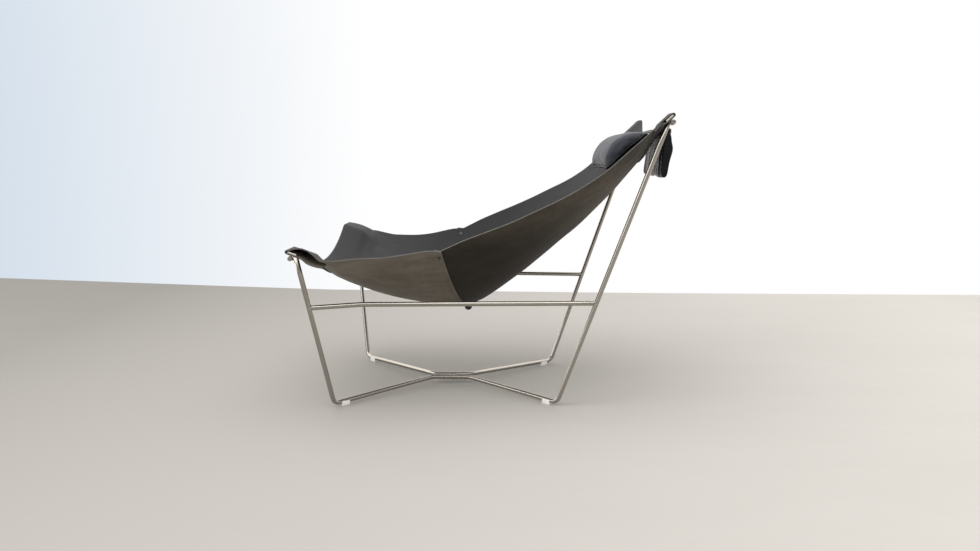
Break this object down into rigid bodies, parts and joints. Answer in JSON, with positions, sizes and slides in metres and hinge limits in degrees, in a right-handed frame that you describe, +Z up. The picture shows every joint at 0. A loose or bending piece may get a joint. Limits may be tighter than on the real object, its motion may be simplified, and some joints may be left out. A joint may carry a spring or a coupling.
{
  "type": "leather sling lounge chair",
  "caption": "Low lounge chair with a black leather sling hung between two bent steel rod side frames, and a counterweighted headrest pillow.",
  "frame": {"origin": "on the floor, under the middle of the chair's outline", "axes": "+X to the sitter's left, +Y to the rear, +Z up"},
  "size_m": [0.7352, 0.9334, 0.7378],
  "materials": {
    "steel_rod": "satin",
    "steel_strip": "satin",
    "steel_fittings": "satin",
    "glide_plastic": "matt",
    "sling_leather": "semi-gloss",
    "pillow_leather": "semi-gloss",
    "pillow_filling": "matt",
    "strap_leather": "semi-gloss",
    "pouch_leather": "semi-gloss",
    "ballast_steel": "matt",
    "stud_plastic": "gloss"
  },
  "bodies": {
    "chair": {"left_side_frame": "steel_rod", "left_side_bar": "steel_rod", "left_base_lug": "steel_rod", "left_front_cross_rod": "steel_rod", "left_front_hem_strip": "steel_strip", "left_front_glide": "glide_plastic", "left_front_strip_screw_1": "steel_fittings", "left_front_strip_screw_2": "steel_fittings", "left_rear_cross_rod": "steel_rod", "left_rear_hem_strip": "steel_strip", "left_rear_glide": "glide_plastic", "left_rear_strip_screw_1": "steel_fittings", "left_rear_strip_screw_2": "steel_fittings", "left_seam_rivet": "steel_fittings", "right_side_frame": "steel_rod", "right_side_bar": "steel_rod", "right_base_lug": "steel_rod", "right_front_cross_rod": "steel_rod", "right_front_hem_strip": "steel_strip", "right_front_glide": "glide_plastic", "right_front_strip_screw_1": "steel_fittings", "right_front_strip_screw_2": "steel_fittings", "right_rear_cross_rod": "steel_rod", "right_rear_hem_strip": "steel_strip", "right_rear_glide": "glide_plastic", "right_rear_strip_screw_1": "steel_fittings", "right_rear_strip_screw_2": "steel_fittings", "right_seam_rivet": "steel_fittings", "base_bolt": "steel_fittings", "base_nut": "steel_fittings", "seat_panel": "sling_leather", "back_panel": "sling_leather", "seam_stud": "stud_plastic", "seam_stud_cap": "stud_plastic", "headrest_strap": "strap_leather"},
    "headrest": {"headrest_cover": "pillow_leather", "headrest_filling": "pillow_filling"},
    "counterweight": {"counterweight_pouch": "pouch_leather", "counterweight_bar": "ballast_steel"}
  },
  "joints": [
    {"name": "headrest_slide", "type": "slide", "parent": "chair", "child": "headrest", "axis": [0, 0.7071, 0.7071], "range_m": [-0.03, 0.05], "deforming": ["headrest_strap"]},
    {"name": "counterweight_slide", "type": "slide", "parent": "chair", "child": "counterweight", "axis": [0, 0, -1], "range_m": [-0.03, 0.05]}
  ],
  "couplings": [
    {"joint": "counterweight_slide", "follows": "headrest_slide", "ratio": 1}
  ]
}
